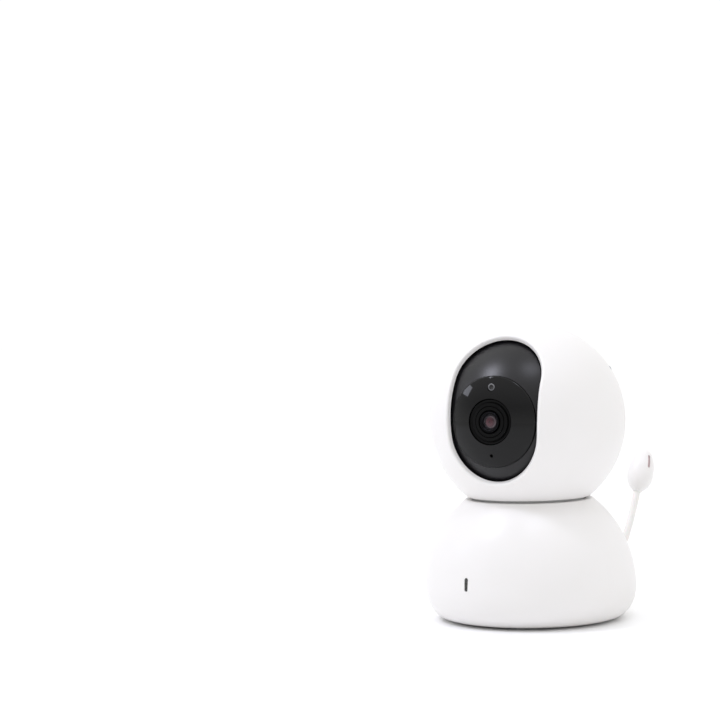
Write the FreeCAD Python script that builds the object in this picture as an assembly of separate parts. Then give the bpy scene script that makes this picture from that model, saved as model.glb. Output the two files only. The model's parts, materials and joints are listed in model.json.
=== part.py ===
import FreeCAD, Part
import math
import os

# Baby monitor camera: a ball head that pans on a domed base, with an eye that tilts inside it.
# Millimetres, +Z up. The origin is the centre of the ring that the rubber feet stand on, and the
# base faces -Y. An azimuth is counted from the front, anticlockwise seen from above.

# Driving dimensions
WALL = 2.0                 # moulded wall of every housing shell
BASE_R = 42.0              # widest radius of the base, at BASE_WAIST_Z
BASE_WAIST_Z = 13.0
BASE_DOME_H = 43.7         # height of the ellipse that the dome follows, above the waist
BASE_BOTTOM_Z = 0.8        # the feet hold the base this far off the table
BASE_EDGE_R = 8.5          # how far the rounded lower edge turns in
BASE_TOP_Z = 47.8
NECK_HOLE_R = 23.0
PLATE_R = 31.0             # base plate

BALL_R = 39.0
BALL_Z = 79.1              # centre of the ball, where the pan and tilt axes cross
BALL_CUT = -30.3           # flat underside of the ball, from its centre
SHELL_SPLIT = 13.0         # seam between the head's two shells, behind the centre
SEAM_GAP = 0.2
REST_PAN = 12.5            # the head is stored turned this far, degrees
REST_TILT = 2.0            # the eye is stored looking up this far, degrees

SLOT_HALF_W = 19.2         # opening that the eye looks out of, seen from the front
SLOT_TOP = 34.1            # its ends, from the ball's centre
SLOT_BOTTOM = -23.5
SLOT_SIDE_TOP = 17.5       # its sides are straight between these heights
SLOT_SIDE_BOTTOM = -2.5
SLOT_LIP = 0.9             # rounding of its rim

EYE_R = 36.0
EYE_HALF_W = 24.0          # half width between the eye's flat sides
EYE_REAR = 3.0             # the eye's cover ends this far behind the tilt axis
WINDOW_R = 17.7            # round window, seen from the front
WINDOW_DOME_R = 36.4
WINDOW_T = 1.7
BEZEL_R = 8.9              # black lens surround
BEZEL_DOME_R = 36.0
BARREL_R = 4.0
GLASS_R = 2.9
SENSOR_Z = 13.4            # light sensor above the lens
MIC_Z = -13.1              # microphone hole below the lens

PIVOT_R = 2.0              # tilt pins
FIT = 0.06                 # radial clearance of a running fit
BODY_GAP = 0.6             # room between parts that move past each other

PAN_MODULE = 0.7
PAN_TEETH = 48
PAN_PINION_TEETH = 14
PAN_MOTOR_AZ = 60.0
TILT_MODULE = 0.8
TILT_TEETH = 30
TILT_PINION_TEETH = 12
GEAR_T = 4.0               # face width of the pan gears
TILT_GEAR_T = 3.4
ADDENDUM = 0.75            # of a module, a stub tooth
DEDENDUM = 1.2
BACKLASH = 0.16

MOTOR_R = 10.0
MOTOR_L = 16.0
MOTOR_SHAFT_R = 1.5
EAR_REACH = 13.5           # motor screw, from the motor's axis
EAR_R = 2.6
TILT_MOTOR_X = 18.4        # face of the tilt motor, along the tilt axis
CHEEK_T = 2.0              # bracket's side plate, against that face
SCREW_R = 1.25

BOARD_Z = 6.5
BOARD_T = 1.6
BRIDGE_Z = 37.3            # underside of the bearing bridge
BRIDGE_T = 2.2
BRIDGE_R = 28.6
BRIDGE_SCREW_R = 26.0      # circle of the bridge's screws
TURN_Z = 40.8              # underside of the turntable
HUB_R = 9.0
GEAR_Z = 32.0
WASHER_T = 1.0

LIGHT_Z = 17.7             # status light slot in the front of the base
LIGHT_W = 1.5
LIGHT_H = 5.2
JACK_AZ = 198.0
JACK_Z = 11.1
SWITCH_AZ = 219.0
SWITCH_Z = 12.5
SWITCH_TRAVEL = 3.0
KNOB_HALF_W = 2.3
STEM_HALF_W = 1.2
BUTTON_AZ = 155.0
BUTTON_Z = 14.0
BUTTON_R = 3.0
SPEAKER_AZ = 252.0
SPEAKER_Z = 21.5
SPEAKER_R = 12.5
SPEAKER_Y = -33.0          # its front, before it is turned to its azimuth

CORD_R = 1.5               # temperature probe's cord
# route of the cord, from its grommet to its bulb, in the plane x = 0: (y, z)
CORD_ROUTE = [(43.2, 14.9), (49.8, 15.0), (57.8, 16.2), (64.7, 20.0), (69.3, 26.0), (75.1, 36.9),
              (77.9, 43.7)]
BULB_R = 5.5
BULB_LOW = 7.4             # from the bulb's foot to its widest section
BULB_HIGH = 11.8           # and from there to its tip
BULB_SLOT_AZ = 68.0

X = FreeCAD.Vector(1, 0, 0)
Y = FreeCAD.Vector(0, 1, 0)
Z = FreeCAD.Vector(0, 0, 1)
O = FreeCAD.Vector(0, 0, 0)


def at(x, y, z):
    return FreeCAD.Vector(x, y, z)


def box(x0, x1, y0, y1, z0, z1):
    return Part.makeBox(x1 - x0, y1 - y0, z1 - z0, at(x0, y0, z0))


def rod_z(r, z0, z1, x=0.0, y=0.0):
    return Part.makeCylinder(r, z1 - z0, at(x, y, z0), Z)


def rod_y(r, y0, y1, x=0.0, z=0.0):
    return Part.makeCylinder(r, y1 - y0, at(x, y0, z), Y)


def rod_x(r, x0, x1, y=0.0, z=0.0):
    return Part.makeCylinder(r, x1 - x0, at(x0, y, z), X)


def ball(r):
    return Part.makeSphere(r, O)


def join(*shapes):
    return shapes[0].fuse(list(shapes[1:])).removeSplitter()


def group(shapes):
    return Part.makeCompound(shapes)


def turned(shape, azimuth):
    """A shape made facing -Y, turned to face an azimuth of the base."""
    return shape.rotated(O, Z, azimuth)


def to_head(shape):
    """From the ball's own frame, facing -Y, to its place at rest."""
    return shape.rotated(O, Z, REST_PAN).translated(at(0, 0, BALL_Z))


def to_eye(shape):
    return to_head(shape.rotated(O, X, -REST_TILT))


def on_circle(radius, azimuth):
    a = math.radians(azimuth)
    return radius * math.sin(a), -radius * math.cos(a)


def revolve_z(edges):
    face = Part.Face(Part.Wire(Part.__sortEdges__(edges)))
    return face.revolve(O, Z, 360)


def line(a, b):
    return Part.LineSegment(a, b).toShape()


def polyline(points):
    return Part.makePolygon([at(*p) for p in points] + [at(*points[0])])


def lathe_z(profile):
    """Solid of revolution about Z from (radius, z) corners."""
    return Part.Face(polyline([(r, 0, z) for r, z in profile])).revolve(O, Z, 360)


def lathe_y(profile):
    """Solid of revolution about Y from (radius, y) corners."""
    return Part.Face(polyline([(r, y, 0) for r, y in profile])).revolve(O, Y, 360)


def screw(length, head_r=2.2, head_t=1.6):
    """Pan-head screw along -Z, the underside of its head at the origin, with a cross recess."""
    body = join(rod_z(SCREW_R, -length, 0), rod_z(head_r, 0, head_t))
    cross = join(box(-1.3, 1.3, -0.3, 0.3, head_t - 0.8, head_t),
                 box(-0.3, 0.3, -1.3, 1.3, head_t - 0.8, head_t))
    return body.cut(cross)


# ---- base ----

def dome(inset, z_bottom, z_top):
    """Body of revolution of the base, with every surface moved in by inset."""
    r = BASE_R - inset
    h = BASE_DOME_H - inset
    edge_x = BASE_R - BASE_EDGE_R
    edge_r = BASE_EDGE_R - inset
    edge_h = BASE_WAIST_Z - BASE_BOTTOM_Z - inset
    waist = at(0, 0, BASE_WAIST_Z)
    side = Part.Ellipse(at(0, 0, BASE_WAIST_Z + h), at(r, 0, BASE_WAIST_Z), waist)
    start = math.acos((z_top - BASE_WAIST_Z) / h)
    top_r = r * math.sin(start)
    corner = at(edge_x, 0, BASE_WAIST_Z)
    low = Part.Ellipse(at(edge_x, 0, BASE_WAIST_Z - edge_h), at(edge_x + edge_r, 0, BASE_WAIST_Z), corner)
    quarter = math.pi / 2
    return revolve_z([
        Part.ArcOfEllipse(side, start, quarter).toShape(),
        Part.ArcOfEllipse(low, 0, quarter).toShape(),
        line(at(0, 0, z_bottom), at(edge_x, 0, z_bottom)),
        line(at(0, 0, z_bottom), at(0, 0, z_top)),
        line(at(0, 0, z_top), at(top_r, 0, z_top)),
    ])


def grille_holes():
    """Speaker holes in rings round a middle one."""
    pitch = 2.9
    holes = [rod_y(0.75, -BASE_R - 1, -33, 0, SPEAKER_Z)]
    for ring in range(1, 4):
        for k in range(6 * ring):
            a = 2 * math.pi * k / (6 * ring)
            holes.append(rod_y(0.75, -BASE_R - 1, -33, ring * pitch * math.cos(a),
                               SPEAKER_Z + ring * pitch * math.sin(a)))
    return turned(group(holes), SPEAKER_AZ)


def light_slot(grow, y0, y1):
    w = LIGHT_W / 2 + grow
    h = LIGHT_H / 2 - LIGHT_W / 2
    return join(box(-w, w, y0, y1, LIGHT_Z - h, LIGHT_Z + h),
                rod_y(w, y0, y1, 0, LIGHT_Z - h), rod_y(w, y0, y1, 0, LIGHT_Z + h))


def probe_frame(shape):
    """A piece made along +Z, set on the axis that the probe's cord leaves the base along."""
    (y0, z0), (y1, z1) = CORD_ROUTE[0], CORD_ROUTE[1]
    rise = math.degrees(math.atan2(z1 - z0, y1 - y0))
    return shape.rotated(O, X, rise - 90).translated(at(0, y0, z0))


def base_shell():
    outer = dome(0, BASE_BOTTOM_Z, BASE_TOP_Z)
    rim = [e for e in outer.Edges if abs(e.CenterOfMass.z - BASE_TOP_Z) < 0.01]
    outer = outer.makeFillet(1.0, rim)
    shell = outer.cut(dome(WALL, BASE_BOTTOM_Z + WALL, BASE_TOP_Z - WALL))
    bosses = []
    for azimuth in (0, 120, 240):
        x, y = on_circle(BRIDGE_SCREW_R, azimuth)
        post = rod_z(2.6, BRIDGE_Z + BRIDGE_T, BASE_TOP_Z - 1, x, y).common(outer)
        bosses.append(post)
    shell = join(shell, *bosses)
    cuts = [rod_z(NECK_HOLE_R, BASE_TOP_Z - 2 * WALL, BASE_TOP_Z + 1),
            rod_z(PLATE_R + SEAM_GAP, 0, BASE_BOTTOM_Z + 2 * WALL),
            grille_holes(), light_slot(0.05, -BASE_R - 1, -35)]
    for azimuth in (0, 120, 240):
        x, y = on_circle(BRIDGE_SCREW_R, azimuth)
        cuts.append(rod_z(SCREW_R, BRIDGE_Z, BRIDGE_Z + 7, x, y))
    cuts.append(turned(rod_y(3.4, -BASE_R - 1, -36, 0, JACK_Z), JACK_AZ))
    half = KNOB_HALF_W + SWITCH_TRAVEL / 2 + 0.35
    cuts.append(turned(box(-half, half, -BASE_R - 1, -36, SWITCH_Z - 1.75, SWITCH_Z + 1.75), SWITCH_AZ))
    cuts.append(turned(rod_y(BUTTON_R + 0.3, -BASE_R - 1, -36, 0, BUTTON_Z), BUTTON_AZ))
    cuts.append(probe_frame(rod_z(2.6, -8, 1)))
    return shell.cut(cuts)


def plate_posts():
    return [on_circle(27.5, azimuth) for azimuth in (45, 135, 225, 315)]


def base_plate():
    plate = rod_z(PLATE_R, BASE_BOTTOM_Z, BASE_BOTTOM_Z + WALL)
    posts = [rod_z(2.6, BASE_BOTTOM_Z + WALL, BOARD_Z, x, y) for x, y in plate_posts()]
    plate = join(plate, *posts)
    cuts = [turned(rod_z(4.2, 0, BASE_BOTTOM_Z + 0.8, 0, -20), azimuth) for azimuth in range(0, 360, 90)]
    for x, y in plate_posts():
        cuts.append(rod_z(SCREW_R, 0, BOARD_Z, x, y))
        cuts.append(rod_z(2.5, 0, BASE_BOTTOM_Z + 0.9, x, y))
    for k in range(-3, 4):
        cuts.append(box(k * 3.2 - 0.8, k * 3.2 + 0.8, -7, 7, 0, BASE_BOTTOM_Z + WALL))
    return plate.cut(cuts)


def rubber_feet():
    pad = lathe_z([(0, 0), (3.6, 0), (4.0, 0.4), (4.0, BASE_BOTTOM_Z + 0.8), (0, BASE_BOTTOM_Z + 0.8)])
    pad = pad.translated(at(0, -20, 0))
    return group([turned(pad, azimuth) for azimuth in range(0, 360, 90)])


def base_screws():
    """They go up through the plate's posts and hold the board down on them."""
    out = []
    for x, y in plate_posts():
        out.append(screw(7.6, 2.2, 0.8).rotated(O, X, 180).translated(at(x, y, BASE_BOTTOM_Z + 0.9)))
    return group(out)


def ballast_weight():
    """Steel ring that keeps the camera from tipping, clear of the vents and the posts."""
    z = BASE_BOTTOM_Z + WALL
    return rod_z(23.5, z, z + 2.4).cut(rod_z(13.0, z, z + 2.4))


def main_board():
    board = rod_z(31.5, BOARD_Z, BOARD_Z + BOARD_T)
    cuts = [rod_z(SCREW_R, BOARD_Z, BOARD_Z + BOARD_T, x, y) for x, y in plate_posts()]
    return board.cut(cuts)


def board_chips():
    """Processor, memory, radio can, power chip and the two connectors, all on the board."""
    z = BOARD_Z + BOARD_T
    sizes = [(-16, -6, 11, 11, 1.2), (-15, 8, 9, 6, 1.0), (-3, -18, 14, 10, 2.2),
             (-2, 16, 5, 4, 1.4), (0, 0, 8, 5, 3.4), (-22, 2, 3, 4, 1.1), (9, 17, 6, 6, 3.0)]
    return group([box(x - w / 2, x + w / 2, y - d / 2, y + d / 2, z, z + h) for x, y, w, d, h in sizes])


def power_jack():
    z = BOARD_Z + BOARD_T
    body = box(-4.5, 4.5, -38.6, -27, z, z + 6)
    body = body.cut(rod_y(1.8, -39, -29.5, 0, JACK_Z))
    pin = rod_y(0.6, -37.6, -29.5, 0, JACK_Z)
    return turned(join(body, pin), JACK_AZ)


def power_switch_case():
    z = BOARD_Z + BOARD_T
    case = box(-5.5, 5.5, -35, -30, z, SWITCH_Z + 2.6)
    half = STEM_HALF_W + SWITCH_TRAVEL / 2 + 0.4
    track = box(-half, half, -35, -32, SWITCH_Z - 1.3, SWITCH_Z + 1.3)
    return turned(case.cut(track), SWITCH_AZ)


def power_switch_knob():
    """Grooved slider, stored at the on end of its slot."""
    shift = SWITCH_TRAVEL / 2
    cap = box(-KNOB_HALF_W, KNOB_HALF_W, -42.2, -38.2, SWITCH_Z - 1.4, SWITCH_Z + 1.4)
    grooves = []
    for k in (-1, 0, 1):
        grooves.append(box(k * 1.2 - 0.25, k * 1.2 + 0.25, -42.3, -41.8, SWITCH_Z - 1.5, SWITCH_Z + 1.5))
    stem = box(-STEM_HALF_W, STEM_HALF_W, -38.2, -32.4, SWITCH_Z - 0.9, SWITCH_Z + 0.9)
    knob = join(cap, stem).cut(grooves)
    return turned(knob.translated(at(shift, 0, 0)), SWITCH_AZ)


def pair_switch():
    z = BOARD_Z + BOARD_T
    body = box(-3, 3, -34.2, -30.5, z, BUTTON_Z + 3)
    return turned(join(body, rod_y(1.2, -34.9, -34.2, 0, BUTTON_Z)), BUTTON_AZ)


def pair_button():
    """Domed cap in its hole, with a flange inside the wall that keeps it in."""
    profile = [(0, -42.4), (BUTTON_R - 0.9, -42.2), (BUTTON_R - 0.2, -41.8), (BUTTON_R, -41.3),
               (BUTTON_R, -39.1), (4.2, -39.1), (4.2, -38.1), (1.6, -38.1), (1.6, -36.0), (0, -36.0)]
    return turned(lathe_y(profile).translated(at(0, 0, BUTTON_Z)), BUTTON_AZ)


def speaker_frame():
    """Round pot that carries the cone, open at the front."""
    frame = rod_y(SPEAKER_R, 0, 3.6).cut(rod_y(SPEAKER_R - 1.2, 0, 2.4))
    frame = frame.cut(rod_y(6.6, 2, 4))
    return turned(frame.translated(at(0, SPEAKER_Y, SPEAKER_Z)), SPEAKER_AZ)


def speaker_cone():
    front = [(0, 1.0), (3.0, 0.6), (4.0, 1.6), (8.4, 0.5), (9.9, 0.1), (11.2, 0.6)]
    back = [(11.2, 0.9), (9.9, 0.4), (8.4, 0.9), (4.0, 2.0), (3.0, 1.1), (0, 1.4)]
    return turned(lathe_y(front + back).translated(at(0, SPEAKER_Y, SPEAKER_Z)), SPEAKER_AZ)


def speaker_magnet():
    y = SPEAKER_Y + 2.4
    return turned(rod_y(6.5, y, y + 4.2, 0, SPEAKER_Z), SPEAKER_AZ)


def status_light_pipe():
    """Clear guide from the lamp on the board up and out through the front slot."""
    inner = box(-1.8, 1.8, -38.6, -34.4, BOARD_Z + 3.4, LIGHT_Z + 3.2)
    return join(inner, light_slot(0, -41.6, -38.0))


def status_led():
    z = BOARD_Z + BOARD_T
    return box(-0.8, 0.8, -31.4, -29.8, z, z + 1.5)


def probe_grommet():
    """Soft sleeve that the probe's cord comes out of, with a flange inside the wall."""
    profile = [(0, -7.2), (4.0, -7.2), (4.0, -5.0), (2.5, -5.0), (2.5, -0.9), (2.3, -0.3), (1.9, 0), (0, 0)]
    return probe_frame(lathe_z(profile))


def bearing_bridge():
    """Plate under the neck with the pan bush, and two posts that the pan motor hangs from."""
    plate = rod_z(BRIDGE_R, BRIDGE_Z, BRIDGE_Z + BRIDGE_T)
    low = GEAR_Z - 1.5
    posts = [rod_z(2.5, low, BRIDGE_Z, x, y) for x, y in ear_places()]
    plate = join(plate, *posts)
    cuts = [rod_z(HUB_R + FIT, BRIDGE_Z - 1, BRIDGE_Z + BRIDGE_T)]
    cuts += [rod_z(SCREW_R, low, low + 5, x, y) for x, y in ear_places()]
    for azimuth in (0, 120, 240):
        x, y = on_circle(BRIDGE_SCREW_R, azimuth)
        cuts.append(rod_z(SCREW_R, BRIDGE_Z, BRIDGE_Z + BRIDGE_T, x, y))
    return plate.cut(cuts)


def bridge_screws():
    out = []
    for azimuth in (0, 120, 240):
        x, y = on_circle(BRIDGE_SCREW_R, azimuth)
        out.append(screw(6.6).rotated(O, X, 180).translated(at(x, y, BRIDGE_Z)))
    return group(out)


def thrust_washer():
    z = BRIDGE_Z + BRIDGE_T
    return rod_z(14, z, z + WASHER_T).cut(rod_z(10, z, z + WASHER_T))


# ---- drives ----

def involute(angle):
    return math.tan(angle) - angle


def gear(module, teeth, bore_r, thick, face_angle, tooth_there):
    """Spur gear on Z with a tooth, or a gap, centred at face_angle from +X."""
    pressure = math.radians(20)
    pitch_r = module * teeth / 2
    base_r = pitch_r * math.cos(pressure)
    root_r = pitch_r - DEDENDUM * module
    tip_r = pitch_r + ADDENDUM * module
    half_at_pitch = math.pi / (2 * teeth) - BACKLASH / 4 / pitch_r

    def half_angle(radius):
        roll = math.acos(min(1.0, base_r / radius))
        return half_at_pitch + involute(pressure) - involute(roll)

    steps = 4
    start_r = max(base_r, root_r)
    radii = [start_r + (tip_r - start_r) * k / steps for k in range(steps + 1)]
    if root_r < base_r:
        radii.insert(0, root_r)
    turn = math.radians(face_angle)
    if not tooth_there:
        turn += math.pi / teeth
    points = []
    for tooth in range(teeth):
        middle = turn + 2 * math.pi * tooth / teeth
        flank = [(r, half_angle(r)) for r in radii]
        points += [(r, middle - a) for r, a in flank]
        points += [(r, middle + a) for r, a in reversed(flank)]
    outline = polyline([(r * math.cos(a), r * math.sin(a), 0) for r, a in points])
    return Part.Face(outline).extrude(at(0, 0, thick)).cut(rod_z(bore_r, 0, thick))


def pan_centre():
    return PAN_MODULE * (PAN_TEETH + PAN_PINION_TEETH) / 2


def tilt_centre():
    return TILT_MODULE * (TILT_TEETH + TILT_PINION_TEETH) / 2


def ear_places():
    """Screws of the pan motor, either side of its axis."""
    mx, my = on_circle(pan_centre(), PAN_MOTOR_AZ)
    a = math.radians(PAN_MOTOR_AZ)
    return [(mx + s * EAR_REACH * math.cos(a), my + s * EAR_REACH * math.sin(a)) for s in (-1, 1)]


def motor():
    """Small geared stepper, its shaft hole on +Z at the origin and its ears along X."""
    can = rod_z(MOTOR_R, -MOTOR_L, -1.0)
    ears = join(box(-EAR_REACH, EAR_REACH, -EAR_R, EAR_R, -1.0, 0), rod_z(MOTOR_R, -1.0, 0),
                rod_z(EAR_R, -1.0, 0, -EAR_REACH, 0), rod_z(EAR_R, -1.0, 0, EAR_REACH, 0))
    plug = box(-4.0, 4.0, -MOTOR_R - 2.0, -MOTOR_R + 1.5, -MOTOR_L + 1.5, -MOTOR_L + 6.5)
    cuts = [rod_z(SCREW_R, -1.0, 0, s * EAR_REACH, 0) for s in (-1, 1)]
    cuts.append(rod_z(MOTOR_SHAFT_R + FIT, -6, 0))
    return join(can, ears, plug).cut(cuts)


def pan_motor():
    mx, my = on_circle(pan_centre(), PAN_MOTOR_AZ)
    return motor().rotated(O, Z, PAN_MOTOR_AZ).translated(at(mx, my, GEAR_Z - 1.5))


def pan_motor_screws():
    z = GEAR_Z - 1.5 - 1.0
    return group([screw(5.4, 2.2, 1.4).rotated(O, X, 180).translated(at(x, y, z)) for x, y in ear_places()])


def pan_pinion():
    mx, my = on_circle(pan_centre(), PAN_MOTOR_AZ)
    teeth = gear(PAN_MODULE, PAN_PINION_TEETH, MOTOR_SHAFT_R, GEAR_T, PAN_MOTOR_AZ + 90, False)
    return teeth.translated(at(mx, my, GEAR_Z))


def pan_motor_shaft():
    mx, my = on_circle(pan_centre(), PAN_MOTOR_AZ)
    return rod_z(MOTOR_SHAFT_R, GEAR_Z - 7, GEAR_Z + GEAR_T + 0.4, mx, my)


def pan_gear():
    wheel = gear(PAN_MODULE, PAN_TEETH, HUB_R - 1.5, GEAR_T, PAN_MOTOR_AZ - 90, True)
    return wheel.translated(at(0, 0, GEAR_Z))


def tilt_frame(shape, x):
    """A piece made along +Z, laid on the head's +X at the tilt motor's axis."""
    return shape.rotated(O, Y, 90).translated(at(x, tilt_centre(), 0))


def ears_turned(shape):
    """Sets the tilt motor's ears on a slant, one up behind and one down in front."""
    return shape.rotated(O, Z, 135)


def tilt_motor():
    return to_head(tilt_frame(ears_turned(motor()), TILT_MOTOR_X))


def tilt_motor_screws():
    out = [screw(3.0, 2.0, 1.0).translated(at(s * EAR_REACH, 0, 0)) for s in (-1, 1)]
    return to_head(tilt_frame(ears_turned(group(out)), TILT_MOTOR_X + CHEEK_T))


def tilt_pinion():
    teeth = gear(TILT_MODULE, TILT_PINION_TEETH, MOTOR_SHAFT_R, TILT_GEAR_T, -90, False)
    return to_head(tilt_frame(teeth, EYE_HALF_W + 0.4))


def tilt_motor_shaft():
    end = EYE_HALF_W + TILT_GEAR_T + BODY_GAP
    return to_head(rod_x(MOTOR_SHAFT_R, TILT_MOTOR_X - 5.6, end, tilt_centre(), 0))


def tilt_gear():
    """Set by the head, not the eye, so that its teeth are in mesh with the pinion at rest."""
    wheel = gear(TILT_MODULE, TILT_TEETH, PIVOT_R, TILT_GEAR_T, 90, True)
    wheel = wheel.rotated(O, Y, 90).translated(at(EYE_HALF_W, 0, 0))
    return to_head(wheel)


# ---- head ----

def turntable():
    """Dished carrier of the head: the eye dips into it, and its hub turns in the bridge."""
    low = TURN_Z - BALL_Z
    dish = rod_z(22.3, low, BALL_CUT)
    dish = dish.cut(ball(EYE_R + 0.7).common(box(-40, 40, -40, 15.8, -40, 0)))
    hub = join(rod_z(HUB_R, GEAR_Z + GEAR_T - BALL_Z, low), rod_z(HUB_R - 1.5, GEAR_Z - 1.2 - BALL_Z, low))
    groove = box(-2.7, 2.7, 0, 20.3, low, low + 1.1)
    riser = box(-2.7, 2.7, 19.1, 20.3, low, BALL_CUT)
    bore = rod_z(4.0, GEAR_Z - 2 - BALL_Z, low + 1.1)
    cuts = [groove, riser, bore]
    for x, y in foot_screws():
        cuts.append(rod_z(SCREW_R, low, BALL_CUT, x, y))
        cuts.append(rod_z(2.4, low, low + 2.0, x, y))
    return to_head(join(dish, hub).cut(cuts))


def foot_screws():
    return [(-6.2, 17.7), (6.2, 17.7)]


def turntable_screws():
    low = TURN_Z - BALL_Z + 2.0
    out = [screw(9.0, 2.1, 1.4).rotated(O, X, 180).translated(at(x, y, low)) for x, y in foot_screws()]
    return to_head(group(out))


def pan_retainer():
    """Washer pressed on the end of the hub, under the gear."""
    top = GEAR_Z - BALL_Z
    return to_head(rod_z(HUB_R + 1.5, top - 1.2, top).cut(rod_z(HUB_R - 1.5, top - 1.2, top)))


def slot_cone():
    """Cuts the eye's opening with walls square to the ball: a cone from its centre over a long oval."""
    reach = 1.5
    points = []
    for start, base, height in ((0, SLOT_SIDE_TOP, SLOT_TOP - SLOT_SIDE_TOP),
                                (180, SLOT_SIDE_BOTTOM, SLOT_SIDE_BOTTOM - SLOT_BOTTOM)):
        for step in range(13):
            a = math.radians(start + 15 * step)
            x = SLOT_HALF_W * math.cos(a)
            z = base + height * math.sin(a)
            scale = reach * BALL_R / math.sqrt(BALL_R ** 2 - x ** 2 - z ** 2)
            points.append(at(x * scale, -reach * BALL_R, z * scale))
    curve = Part.BSplineCurve()
    curve.interpolate(Points=points, PeriodicFlag=True)
    return Part.makeLoft([Part.Vertex(O), Part.Wire(curve.toShape())], True, False)


def on_ball(edge, radius):
    middle = edge.valueAt((edge.FirstParameter + edge.LastParameter) / 2)
    return abs(middle.Length - radius) < 0.02


def head_screws():
    return [(-27.6, 19.0), (27.6, 19.0), (-27.6, -19.0), (27.6, -19.0)]


def head_front_shell():
    """Front of the ball with the eye's opening, the two tilt bearings and the screw posts."""
    outer = ball(BALL_R).cut(box(-40, 40, -40, 40, -40, BALL_CUT))
    outer = outer.cut(slot_cone())
    rim = [e for e in outer.Edges if on_ball(e, BALL_R) and e.CenterOfMass.z > BALL_CUT + 3
           and e.CenterOfMass.y < -1]
    outer = outer.makeFillet(SLOT_LIP, rim)
    shell = outer.cut(ball(BALL_R - WALL))
    skin = ball(BALL_R - WALL / 2).cut(slot_cone())
    extras = [rod_x(5.0, -BALL_R, -EYE_HALF_W - BODY_GAP),
              rod_x(5.0, EYE_HALF_W + TILT_GEAR_T + BODY_GAP, BALL_R)]
    extras += [rod_y(2.6, 3.0, SHELL_SPLIT, x, z) for x, z in head_screws()]
    shell = join(shell, *[e.common(skin) for e in extras])
    cuts = [rod_x(PIVOT_R + FIT, -BALL_R + 4, BALL_R - 4),
            box(-40, 40, SHELL_SPLIT - SEAM_GAP / 2, 40, -40, 40)]
    cuts += [rod_y(SCREW_R, 4.5, SHELL_SPLIT, x, z) for x, z in head_screws()]
    return to_head(shell.cut(cuts))


def head_rear_shell():
    """Back of the ball, screwed to the front through four sunk holes."""
    outer = ball(BALL_R).cut(box(-40, 40, -40, 40, -40, BALL_CUT))
    shell = outer.cut(ball(BALL_R - WALL))
    extras = [rod_y(3.2, SHELL_SPLIT, 24, x, z).common(outer) for x, z in head_screws()]
    shell = join(shell, *extras)
    cuts = [box(-40, 40, -40, SHELL_SPLIT + SEAM_GAP / 2, -40, 40)]
    for x, z in head_screws():
        cuts.append(rod_y(SCREW_R, SHELL_SPLIT, 26, x, z))
        cuts.append(rod_y(2.3, SHELL_SPLIT + 2.4, 40, x, z))
    return to_head(shell.cut(cuts))


def shell_screws():
    one = screw(9.0, 2.2, 1.5).rotated(O, X, -90)
    return to_head(group([one.translated(at(x, SHELL_SPLIT + 2.4, z)) for x, z in head_screws()]))


def tilt_bracket():
    """Standard on the turntable that carries the tilt motor in a tray and a side plate."""
    under = -MOTOR_R - 0.4
    end = TILT_MOTOR_X + CHEEK_T
    column = box(-9.0, 9.0, 16.3, 18.8, BALL_CUT, under)
    tray = box(1.0, end, 10.5, 19.0, under - 2.0, under)
    brace = box(TILT_MOTOR_X, end, 10.5, 19.0, under, 0)
    plate = join(rod_z(MOTOR_R + 0.4, 0, CHEEK_T), box(-EAR_REACH, EAR_REACH, -EAR_R, EAR_R, 0, CHEEK_T),
                 rod_z(EAR_R, 0, CHEEK_T, -EAR_REACH), rod_z(EAR_R, 0, CHEEK_T, EAR_REACH))
    holes = [rod_z(MOTOR_SHAFT_R + 0.6, 0, CHEEK_T)]
    holes += [rod_z(SCREW_R, 0, CHEEK_T, s * EAR_REACH) for s in (-1, 1)]
    cheek = tilt_frame(ears_turned(plate), TILT_MOTOR_X)
    cuts = [tilt_frame(ears_turned(group(holes)), TILT_MOTOR_X)]
    cuts += [rod_z(SCREW_R, BALL_CUT, BALL_CUT + 6, x, y) for x, y in foot_screws()]
    return to_head(join(column, tray, brace, cheek).cut(cuts))


def wire_harness():
    """Wires up the hub's bore, then a flat ribbon under the dish and up behind the eye."""
    low = TURN_Z - BALL_Z
    wires = rod_z(1.5, 12.0 - BALL_Z, low + 0.9)
    ribbon = box(-2.2, 2.2, 0, 20.0, low + 0.2, low + 0.9)
    riser = box(-2.2, 2.2, 19.4, 20.0, low + 0.2, -18.0)
    return to_head(join(wires, ribbon, riser))


# ---- eye ----

def eye_cover():
    """Dark ball with flat sides, open behind, with a round seat for the window."""
    cover = ball(EYE_R).common(box(-EYE_HALF_W, EYE_HALF_W, -50, EYE_REAR, -50, 50))
    hollow_w = EYE_HALF_W - WALL
    cover = cover.cut(ball(EYE_R - WALL).common(box(-hollow_w, hollow_w, -50, 50, -50, 50)))
    ears = [rod_x(6.0, hollow_w, EYE_HALF_W), rod_x(6.0, -EYE_HALF_W, -hollow_w)]
    cover = join(cover, *ears)
    posts = [rod_y(2.6, -26.5, -1.6, x, z).common(ball(EYE_R - 1)) for x, z in back_screws()]
    cover = join(cover, *posts)
    inner = WINDOW_DOME_R - WINDOW_T
    seat = rod_y(WINDOW_R + 0.15, -50, 0).cut(ball(inner))
    cuts = [seat, rod_y(WINDOW_R - 1.4, -50, -20), rod_x(PIVOT_R, -30, 30)]
    cuts += [rod_y(SCREW_R, -12, -1.6, x, z) for x, z in back_screws()]
    return to_eye(cover.cut(cuts))


def back_screws():
    return [(-18.5, 16.0), (18.5, 16.0), (-18.5, -16.0), (18.5, -16.0)]


def eye_back_plate():
    plate = ball(EYE_R - WALL - 0.4).common(box(-20.6, 20.6, -1.6, 0, -33, 33))
    cuts = [rod_y(SCREW_R, -2, 1, x, z) for x, z in back_screws()]
    cuts.append(box(-6, 6, -3, 1, -27, -22))
    return to_eye(plate.cut(cuts))


def eye_screws():
    one = screw(7.0, 2.1, 1.3).rotated(O, X, -90)
    return to_eye(group([one.translated(at(x, 0, z)) for x, z in back_screws()]))


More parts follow.
